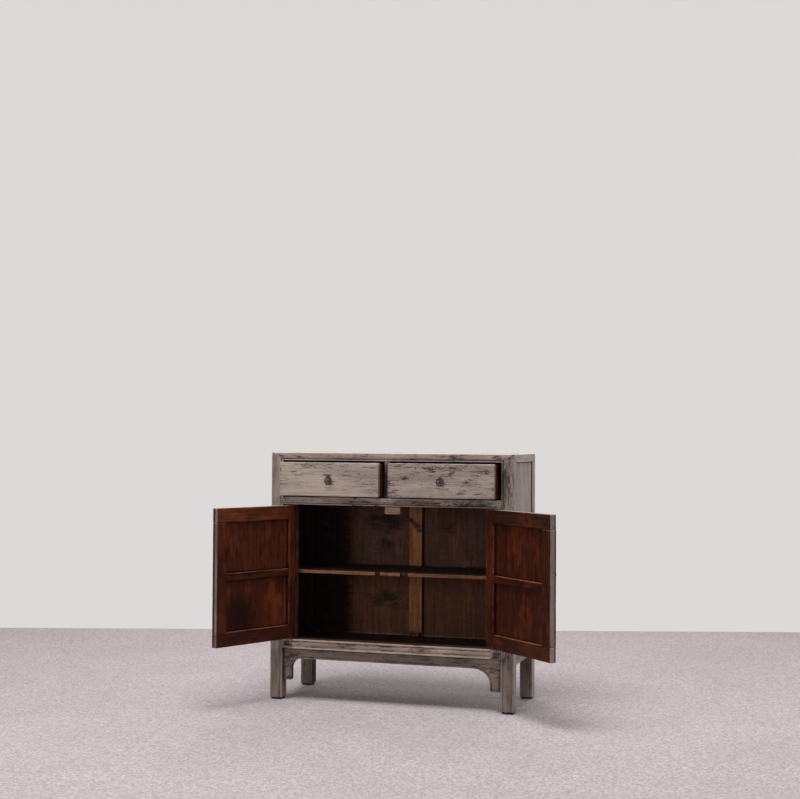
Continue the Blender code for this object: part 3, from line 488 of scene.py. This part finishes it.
# How each board is finished: pairs of sides and finish, and the finish of all other sides last.
# Sides as seen from the front with the doors shut: Left, Right, Front, Back, Up, Down, s for the front of
# a back board below the shelf, f for its foot, l for a post's leg and m for the lacquered part of the edge
# where a door meets the other.
# TOP and UNSEEN are pairs that many boards share.
TOP = ("U", "top_paint")
UNSEEN = ("", "inside_wood")
BOARD_FINISH = {
    "post_front_left": (("l", "leg_paint"), ("LF", "post_paint"), TOP, UNSEEN),
    "post_front_right": (("l", "leg_paint"), ("F", "post_paint"), ("R", "side_paint"), TOP, UNSEEN),
    # Below the sill the back legs take dark paints: painted shade under the cabinet
    "post_back_left": (("lLB", "back_leg_paint"), TOP, UNSEEN),
    "post_back_right": (("lB", "apron_paint"), ("R", "side_paint"), TOP, UNSEEN),
    "top_front_rail": (("F", "rail_paint"), TOP, UNSEEN),
    "top_back_rail": (("B", "rail_paint"), TOP, UNSEEN),
    "top_panel": (TOP, UNSEEN),
    "drawer_rail": (("F", "frame_paint"), UNSEEN),
    "sill_rail": (("F", "sill_paint"), ("U", "sill_top"), UNSEEN),
    "drawer_mullion": (("F", "frame_paint"), UNSEEN),
    "front_apron": (("FD", "apron_paint"), UNSEEN),
    "back_rail": (("BD", "back_wood"), UNSEEN),
    "back_batten": (("", "batten_wood"),),
    "floor_board": (("", "cupboard_floor"),),
    "shelf": (("F", "shelf_edge"), ("", "cupboard_floor")),
    "door_stop": (("", "stop_wood"),),
    "drawer_runner_left": (UNSEEN,),
    "drawer_runner_centre": (UNSEEN,),
    "drawer_runner_right": (UNSEEN,),
}
for side, outer in (("left", "L"), ("right", "R")):
    is_left = side == "left"
    BOARD_FINISH["top_" + side + "_rail"] = ((outer, "side_rail_paint"), TOP, UNSEEN)
    BOARD_FINISH["door_jamb_" + side] = (("F", "frame_paint"), UNSEEN)
    BOARD_FINISH["side_rail_" + side] = ((outer + "D", "post_paint"), UNSEEN)
    BOARD_FINISH["side_panel_" + side] = ((outer, "side_paint"), UNSEEN)
    BOARD_FINISH["back_board_" + side] = (
        ("B", "back_wood"), ("f", "joint_dust"), ("s", "low_back"), ("", "inner_back"))

    drawer = side + "_drawer_"
    BOARD_FINISH[drawer + "front"] = (
        ("LRFUD", "drawer_paint" if is_left else "dull_drawer_paint"), ("", "drawer_wood"))
    BOARD_FINISH[drawer + "side_left"] = (("LU", "drawer_lacquer"), ("", "drawer_wood"))
    BOARD_FINISH[drawer + "side_right"] = (("RU", "drawer_lacquer"), ("", "drawer_wood"))
    BOARD_FINISH[drawer + "back"] = (("", "drawer_wood"),)
    BOARD_FINISH[drawer + "bottom"] = (("", "drawer_wood"),)

    door = side + "_door_"
    inside, stile, rail = (side + part for part in ("_door_lacquer", "_stile_lacquer", "_rail_lacquer"))
    meeting = MEETING_EDGES[side][0]
    edges = ((meeting, side + "_edge_paint"), ("m", "edge_lacquer"))
    low_edges = ((meeting, "back_leg_paint"), ("m", "edge_lacquer")) if is_left else edges
    BOARD_FINISH[door + "free_stile"] = (("FUD", "door_paint"), *edges, ("", stile))
    BOARD_FINISH[door + "hinge_stile"] = (("FUD", "door_paint"), (outer, "batten_wood"), ("", stile))
    BOARD_FINISH[door + "top_rail"] = (("FU", "door_paint"), *edges, ("", rail))
    BOARD_FINISH[door + "bottom_rail"] = (
        ("FD", "door_paint"), *low_edges, ("U", "worn_lacquer"), ("", stile if is_left else rail))
    BOARD_FINISH[door + "panel"] = (("F", "door_paint"), ("", inside))
    BOARD_FINISH[door + "batten"] = (("F", "door_paint"), ("U", "worn_lacquer"), ("", stile))


def squared(body):
    """The turn that shuts a door, so that its boards lie square with the axes; none for other bodies."""
    joint = JOINTS.get(body + "_hinge")
    if joint is None:
        return Matrix.Identity(4)
    pivot = Matrix.Translation(Vector(joint["pos_m"]))
    shut = Matrix.Rotation(math.radians(joint["range_deg"][0]), 4, Vector(joint["axis"]))
    return pivot @ shut @ pivot.inverted()


def side_of(normal):
    """The side that a face is on, as one of the letters L, R, F, B, U and D."""
    axis = max(range(3), key=lambda k: abs(normal[k]) - AXIS_LEAD * k)
    return ("LR", "FB", "DU")[axis][int(normal[axis] > 0)]


def is_set_back(node, centre, low, high):
    """Whether a face of the shelf or of a side panel lies behind the board's outer face."""
    if node == "shelf":
        return centre.y > low[1] + SET_BACK
    if node == "side_panel_left":
        return centre.x > low[0] + SET_BACK
    if node == "side_panel_right":
        return centre.x < high[0] - SET_BACK
    return False


def finish_of(node, face, low, high):
    """Which of a board's finishes a face takes: by its side, but for some set back or down low."""
    finishes = BOARD_FINISH[node]
    last = len(finishes) - 1
    centre = face.calc_center_median()
    if is_set_back(node, centre, low, high):
        return last
    side = side_of(face.normal)
    # Below the sill a post's faces, all of the front left post's and all but the right side of the others', take
    # the leg finish: darker, on the back legs as painted shade under the cabinet
    if node.startswith("post") and centre.z < SILL_UNDERSIDE:
        if side != "R" or node == "post_front_left":
            side = "l"
    if node.startswith("back_board") and side == "F" and centre.z < SHELF_UNDERSIDE:
        side = "f" if centre.z < low[2] + RIM_LOOP else "s"
    for door, (meeting, share) in MEETING_EDGES.items():
        lacquered_to = low[1] + share * (high[1] - low[1])
        if node.startswith(door + "_door") and side == meeting and centre.y < lacquered_to:
            side = "m"
    if node.endswith("hinge_stile") and side in "LR" and face.normal.y < STILE_PAINTED_FROM:
        side = "F"
    return next((k for k, (sides, finish) in enumerate(finishes) if side in sides), last)


def cut(board, axis, place, drop_below=False):
    """Cuts all faces of a board along a plane across an axis, and may drop what lies below it."""
    centre, normal = Vector((0, 0, 0)), Vector((0, 0, 0))
    centre[axis], normal[axis] = place, 1.0
    bmesh.ops.bisect_plane(board, geom=board.verts[:] + board.edges[:] + board.faces[:], dist=ON_CUT,
                           plane_co=centre, plane_no=normal, clear_inner=drop_below)


def slices(low, high, step, keep_off=()):
    """Places for cuts across a board: evenly spaced and one near each end, none close to a groove."""
    count = max(1, round((high - low) / step))
    places = [low + (high - low) * k / count for k in range(1, count)]
    if high - low > RIM_LOOP_ROOM * RIM_LOOP:
        places += [low + RIM_LOOP, high - RIM_LOOP]
    return [place for place in places
            if all(abs(place - groove) > CUT_CLEAR_OF_GROOVE for groove in keep_off)]


def straight_groove(board, layer, side, axis, place, half=GROOVE_HALF_WIDTH):
    """Presses a V-shaped groove into one side of a board."""
    for shift in (-half, 0.0, half):
        cut(board, axis, place + shift)
    board.normal_update()
    for vertex in board.verts:
        if side_of(vertex.normal) == side and abs(vertex.co[axis] - place) < ON_CUT:
            vertex[layer] = 1.0
    press(board, layer)


def outline_groove(board, layer, top):
    """Presses a groove into the front face of a board, along its outline, but not near its top edge."""
    fronts = (face for face in board.faces if side_of(face.normal) == "F")
    front = max(fronts, key=lambda face: face.calc_area())
    groove_top = top - APRON_GROOVE_END * BEAD
    for ring, inset in enumerate((BEAD - GROOVE_HALF_WIDTH, GROOVE_HALF_WIDTH, GROOVE_HALF_WIDTH)):
        bmesh.ops.inset_region(board, faces=[front], thickness=inset, use_even_offset=True,
                               use_boundary=True)
        for vertex in front.verts:
            vertex[layer] = 1.0 if ring == 1 and vertex.co.z < groove_top else 0.0
    board.normal_update()
    press(board, layer)


def press(board, layer):
    """Moves a groove's marked middle inwards."""
    for vertex in board.verts:
        if vertex[layer] == 1.0:
            vertex.co -= vertex.normal * GROOVE_DEPTH


def distance_to(points, segments):
    """The distance from each point to the nearest of the segments."""
    nearest = np.full(len(points), FAR)
    for start, end in segments:
        along = end - start
        share = np.clip(((points - start) @ along) / max(along @ along, WELD ** 2), 0.0, 1.0)
        nearest = np.minimum(nearest, np.linalg.norm(points - (start + share[:, None] * along), axis=1))
    return nearest


def ray_fan(count):
    """Evenly spread directions over a half sphere around +Z."""
    fan = []
    for k in range(count):
        height = (k + 0.5) / count
        turn = k * math.pi * (3.0 - math.sqrt(5.0))
        out = math.sqrt(1.0 - height * height)
        fan.append(Vector((out * math.cos(turn), out * math.sin(turn), height)))
    return fan


FAN = ray_fan(GRIME_AND_SHADE_RAYS)


def crowding(point, normal, tree):
    """How much of the near space around a point is taken up by other boards of its body."""
    turn = normal.to_track_quat("Z", "Y")
    start = point + normal * GRIME_AND_SHADE_RAY_START
    total = 0.0
    for ray in FAN:
        hit = tree.ray_cast(start, turn @ ray, GRIME_AND_SHADE_REACH)
        if hit[0] is not None:
            total += 1.0 - hit[3] / GRIME_AND_SHADE_REACH
    return min(1.0, GRIME_AND_SHADE_GAIN * total / GRIME_AND_SHADE_RAYS)


def dark_mark(node, point, side):
    """How strongly the board's dark marks show at a point on one of its sides: stains, and painted shade for some
    marks.
    """
    shown = 0.0
    if side != ("B" if "_door_" in node else "F"):
        return shown
    for x, z, reach_x, reach_z, strength in MARKS.get(node, ()):
        fading = -((point.x - x) / reach_x) ** 2 - ((point.z - z) / reach_z) ** 2
        shown = max(shown, strength * math.exp(fading))
    return shown


def body_tree(body):
    """A search tree over all the CAD solids of a body."""
    vertices, faces = [], []
    for node in BODIES[body]:
        mesh = NODES[node].data
        offset = len(vertices)
        vertices += [v.co.copy() for v in mesh.vertices]
        faces += [[offset + index for index in polygon.vertices] for polygon in mesh.polygons]
    return BVHTree.FromPolygons(vertices, faces)


def place_piece(name, mesh, body, node=None):
    """Puts a mesh into the scene as a piece of a body, in place of its CAD node where it has one."""
    piece = bpy.data.objects.new(name, mesh)
    bpy.context.scene.collection.objects.link(piece)
    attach(piece, body)
    if node:
        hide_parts(node)
    return piece


def set_attributes(mesh, places, edges, grime_and_shade_values):
    """Stores the values that the materials read at each vertex."""
    stored = (("board", "FLOAT_VECTOR", "vector", places), ("edge", "FLOAT", "value", edges),
              ("grime_and_shade", "FLOAT", "value", grime_and_shade_values))
    for label, kind, key, values in stored:
        attribute = mesh.attributes.new(label, kind, "POINT")
        attribute.data.foreach_set(key, np.array(values, np.float32).ravel())


def welded(node):
    """A copy of a CAD solid with its corners joined."""
    solid = bmesh.new()
    solid.from_mesh(NODES[node].data)
    bmesh.ops.remove_doubles(solid, verts=solid.verts, dist=WELD)
    return solid


def trim_foot(board):
    """Takes off the end of a post where its sole goes, and rounds the new rim."""
    cut(board, 2, SOLE_HEIGHT, drop_below=True)
    bmesh.ops.holes_fill(board, edges=[e for e in board.edges if e.is_boundary])
    rim = [e for e in board.edges if all(abs(v.co.z - SOLE_HEIGHT) < WELD for v in e.verts)]
    bmesh.ops.bevel(board, geom=rim, offset=FOOT_ROUNDING, segments=ROUNDING_SEGMENTS, profile=ROUND,
                    affect="EDGES")


def round_arrises(board, thinnest):
    """Rounds a board's outward edges, and returns where they were."""
    arrises = [e for e in board.edges if e.is_manifold and e.calc_face_angle_signed() > ARRIS_TURN]
    segments = [(np.array(e.verts[0].co), np.array(e.verts[1].co)) for e in arrises]
    bmesh.ops.bevel(board, geom=arrises, offset=min(ARRIS, ARRIS_SHARE * thinnest),
                    segments=ARRIS_SEGMENTS, profile=ROUND, affect="EDGES", clamp_overlap=True)
    board.normal_update()
    return segments


def wear_and_top_highlight(node, points, segments, reach, top):
    """How worn each point is: most on the arrises, and on some boards on the top ones above all, their paler look
    partly painted highlight.
    """
    worn = np.exp(-reach / WEAR_REACH)
    if node not in OTHER_EDGES_WORN:
        return worn
    upper = [pair for pair in segments if min(pair[0][2], pair[1][2]) > top - TOP_EDGE_REACH]
    return np.maximum(np.exp(-distance_to(points, upper) / WEAR_REACH), OTHER_EDGES_WORN[node] * worn)


def aged_board(node, body, tree, grooves=()):
    """A board like its CAD solid, with chipped arrises, wavy faces and the values its material reads."""
    shut = squared(body)
    board = welded(node)
    bmesh.ops.dissolve_limit(board, angle_limit=math.radians(FLAT_DEGREES), verts=board.verts,
                             edges=board.edges)
    board.transform(shut)
    if node.startswith("post"):
        trim_foot(board)
    board.normal_update()
    places = np.array([v.co for v in board.verts])
    low, high = places.min(0), places.max(0)
    thinnest = float((high - low).min())
    grain = int(np.argmax(high - low))
    segments = round_arrises(board, thinnest)
    layer = board.verts.layers.float.new("groove")
    if node == "front_apron":
        outline_groove(board, layer, float(high[2]))
    for groove in grooves:
        straight_groove(board, layer, *groove)
    for axis in range(3):
        step = GRID_ALONG if axis == grain else GRID_ACROSS
        keep_off = [groove[2] for groove in grooves if groove[1] == axis]
        for place in slices(low[axis], high[axis], step, keep_off):
            cut(board, axis, place)
    board.normal_update()
    points = np.array([v.co for v in board.verts])
    reach = distance_to(points, segments)
    worn = wear_and_top_highlight(node, points, segments, reach, high[2])
    chance = random.Random(node)
    seed = Vector([chance.uniform(0.0, PATTERN_SPREAD) for k in range(3)])
    order = [grain] + [k for k in range(3) if k != grain]
    grain_places, edges, grime_and_shade_values = [], [], []
    for vertex, away, wear in zip(board.verts, reach, worn):
        slow = noise.noise((vertex.co + seed) * SLOW_WAVES)
        quick = noise.noise((vertex.co + seed) * QUICK_WAVES)
        dent = WAVINESS * (0.5 + 0.5 * slow)
        dent += CHIP_DEPTH * math.exp(-away / CHIP_REACH) * max(0.0, quick + 0.5 * slow - CHIPS_FROM)
        grain_places.append([vertex.co[k] + seed[k] for k in order])
        edges.append(wear * (1.0 - vertex[layer]))
        # Groove bottoms and dark marks darken a vertex: grime, and painted shade in the grooves and in some marks
        grime_and_shade_values.append(max(vertex[layer], dark_mark(node, vertex.co, side_of(vertex.normal))))
        vertex.co = vertex.co - vertex.normal * min(dent, DENT_SHARE * thinnest)
    for face in board.faces:
        face.material_index = finish_of(node, face, low, high)
        face.smooth = True
    board.transform(shut.inverted())
    board.normal_update()
    # Where other boards of the body crowd a point it is darkened: grime, and painted shade in corners and joints
    share = CORNER_GRIME_AND_SHADE.get(node, 1.0)
    grime_and_shade_values = [max(grime_and_shade, share * crowding(v.co, v.normal, tree)) for grime_and_shade, v in zip(grime_and_shade_values, board.verts)]
    mesh = bpy.data.meshes.new(node + "_aged")
    board.to_mesh(mesh)
    board.free()
    for sides, finish in BOARD_FINISH[node]:
        mesh.materials.append(MATERIALS[finish])
    set_attributes(mesh, grain_places, edges, grime_and_shade_values)
    place_piece(node + "_aged", mesh, body, node)


def forged(node, body):
    """A smooth iron fitting on the lines of its CAD solid, a little uneven as if hammered."""
    shape = welded(node)
    shape.normal_update()
    for vertex in shape.verts:
        vertex.co -= vertex.normal * HAMMERED_DEPTH * (1.0 + noise.noise(vertex.co * HAMMERED_WAVES))
    for face in shape.faces:
        face.smooth = True
    mesh = bpy.data.meshes.new(node + "_forged")
    shape.to_mesh(mesh)
    shape.free()
    mesh.materials.append(MATERIALS["forged_iron"])
    piece = place_piece(node + "_forged", mesh, body, node)
    rounding = piece.modifiers.new("rounding", "SUBSURF")
    rounding.levels = rounding.render_levels = SMOOTHING_ROUNDS


def sole(post):
    """The thin dark pad under a foot."""
    low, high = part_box(post)
    pad = bmesh.new()
    bmesh.ops.create_cube(pad, size=1.0)
    for vertex in pad.verts:
        for axis in range(2):
            inset = SOLE_INSET if vertex.co[axis] < 0 else -SOLE_INSET
            vertex.co[axis] = (low[axis] if vertex.co[axis] < 0 else high[axis]) + inset
        vertex.co.z = 0.0 if vertex.co.z < 0 else SOLE_HEIGHT
    bmesh.ops.bevel(pad, geom=pad.edges[:], offset=SOLE_ROUNDING, segments=ROUNDING_SEGMENTS,
                    profile=ROUND, affect="EDGES")
    for axis in range(2):
        for place in slices(low[axis] + SOLE_INSET, high[axis] - SOLE_INSET, SOLE_GRID):
            cut(pad, axis, place)
    places = [list(v.co) for v in pad.verts]
    mesh = bpy.data.meshes.new(post + "_sole")
    pad.to_mesh(mesh)
    pad.free()
    mesh.materials.append(MATERIALS["sole"])
    set_attributes(mesh, places, [0.0] * len(places), [0.0] * len(places))
    place_piece(post + "_sole", mesh, "carcass")


def dress():
    """Every board and fitting of the frame, aged and finished."""
    # Each groove: the side it is cut into, the axis it lies across, its place and maybe its half width
    post_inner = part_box("post_front_right")[0].x
    post_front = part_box("post_front_right")[0].y
    grooves = {
        "top_front_rail": [("F", 2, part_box("top_front_rail")[0].z + BEAD)],
        "drawer_rail": [("F", 2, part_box("drawer_rail")[0].z + BEAD)],
        "post_front_left": [("F", 0, -post_inner - POST_BEAD)],
        "post_front_right": [("F", 0, post_inner + POST_BEAD), ("R", 1, post_front + BEAD)],
    }
    batten_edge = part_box("back_batten")[1].x
    # The groove beside the batten has a darkened bottom: painted shade of the gap between the back boards
    grooves["back_board_right"] = [("F", 0, batten_edge + BOARD_GAP_HALF_WIDTH, BOARD_GAP_HALF_WIDTH)]
    for side, hinge in (("left", -1), ("right", 1)):
        node = side + "_door_hinge_stile"
        corners = [squared(side + "_door") @ v.co for v in NODES[node].data.vertices]
        edge = max(hinge * corner.x for corner in corners)
        grooves[node] = [("B", 0, hinge * (edge - DOOR_BEAD))]
    for body, nodes in BODIES.items():
        tree = body_tree(body)
        for node in nodes:
            if node.endswith(("_ring", "_cotter")):
                forged(node, body)
            else:
                aged_board(node, body, tree, grooves.get(node, ()))
            if node.startswith("post"):
                sole(node)


def room():
    """A carpet floor up to where the photo's wall begins, and soft studio light."""
    yaw = math.radians(CAMERA_YAW)
    ahead = Vector((-math.sin(yaw), math.cos(yaw), 0.0))
    right = Vector((math.cos(yaw), math.sin(yaw), 0.0))
    stand = Vector((CAMERA_PLACE[0], CAMERA_PLACE[1], 0.0))
    ends = ((-FLOOR_BEHIND, -1), (-FLOOR_BEHIND, 1), (FLOOR_AHEAD, 1), (FLOOR_AHEAD, -1))
    corners = [stand + ahead * reach + right * FLOOR_HALF_WIDTH * turn for reach, turn in ends]
    mesh = bpy.data.meshes.new("floor")
    mesh.from_pydata(corners, [], [(0, 1, 2, 3)])
    mesh.materials.append(carpet("carpet"))
    floor = bpy.data.objects.new("floor", mesh)
    bpy.context.scene.collection.objects.link(floor)
    for name, place, aim, size, watts in LIGHTS:
        light = bpy.data.lights.new(name, "AREA")
        light.shape = "RECTANGLE"
        light.size, light.size_y = size
        light.energy = watts
        lamp = bpy.data.objects.new(name, light)
        lamp.location = place
        lamp.rotation_euler = (Vector(aim) - Vector(place)).to_track_quat("-Z", "Y").to_euler()
        bpy.context.scene.collection.objects.link(lamp)


def backdrop():
    """A pale world: off-white where it is seen, and a plain ambient light elsewhere."""
    world = bpy.data.worlds.new("studio")
    world.use_nodes = True
    bpy.context.scene.world = world
    tree = world.node_tree
    seen = tree.nodes["Background"]
    seen.inputs["Color"].default_value = WALL
    seen.inputs["Strength"].default_value = 1.0
    ambient = tree.nodes.new("ShaderNodeBackground")
    ambient.inputs["Color"].default_value = AMBIENT_COLOUR
    ambient.inputs["Strength"].default_value = AMBIENT
    path = tree.nodes.new("ShaderNodeLightPath")
    is_seen = path.outputs["Is Camera Ray"]
    for ray in ("Is Glossy Ray", "Is Transmission Ray"):
        either = tree.nodes.new("ShaderNodeMath")
        either.operation = "MAXIMUM"
        tree.links.new(is_seen, either.inputs[0])
        tree.links.new(path.outputs[ray], either.inputs[1])
        is_seen = either.outputs[0]
    blend = tree.nodes.new("ShaderNodeMixShader")
    tree.links.new(is_seen, blend.inputs[0])
    tree.links.new(ambient.outputs[0], blend.inputs[1])
    tree.links.new(seen.outputs[0], blend.inputs[2])
    tree.links.new(blend.outputs[0], tree.nodes["World Output"].inputs["Surface"])


def photographer():
    """The camera at the photo's place and angle."""
    lens = bpy.data.cameras.new("camera")
    lens.sensor_fit = "HORIZONTAL"
    lens.sensor_width = SENSOR_WIDTH
    lens.lens = CAMERA_FOCAL_PIXELS * SENSOR_WIDTH / PHOTO_WIDTH_PIXELS
    camera = bpy.data.objects.new("camera", lens)
    camera.matrix_world = (Matrix.Translation(Vector(CAMERA_PLACE))
                           @ Matrix.Rotation(math.radians(CAMERA_YAW), 4, "Z")
                           @ Matrix.Rotation(math.radians(90.0 + CAMERA_PITCH), 4, "X")
                           @ Matrix.Rotation(math.radians(CAMERA_ROLL), 4, "Z"))
    bpy.context.scene.collection.objects.link(camera)
    bpy.context.scene.camera = camera


dress()
room()
backdrop()
photographer()
bpy.context.scene.view_settings.view_transform = "Standard"
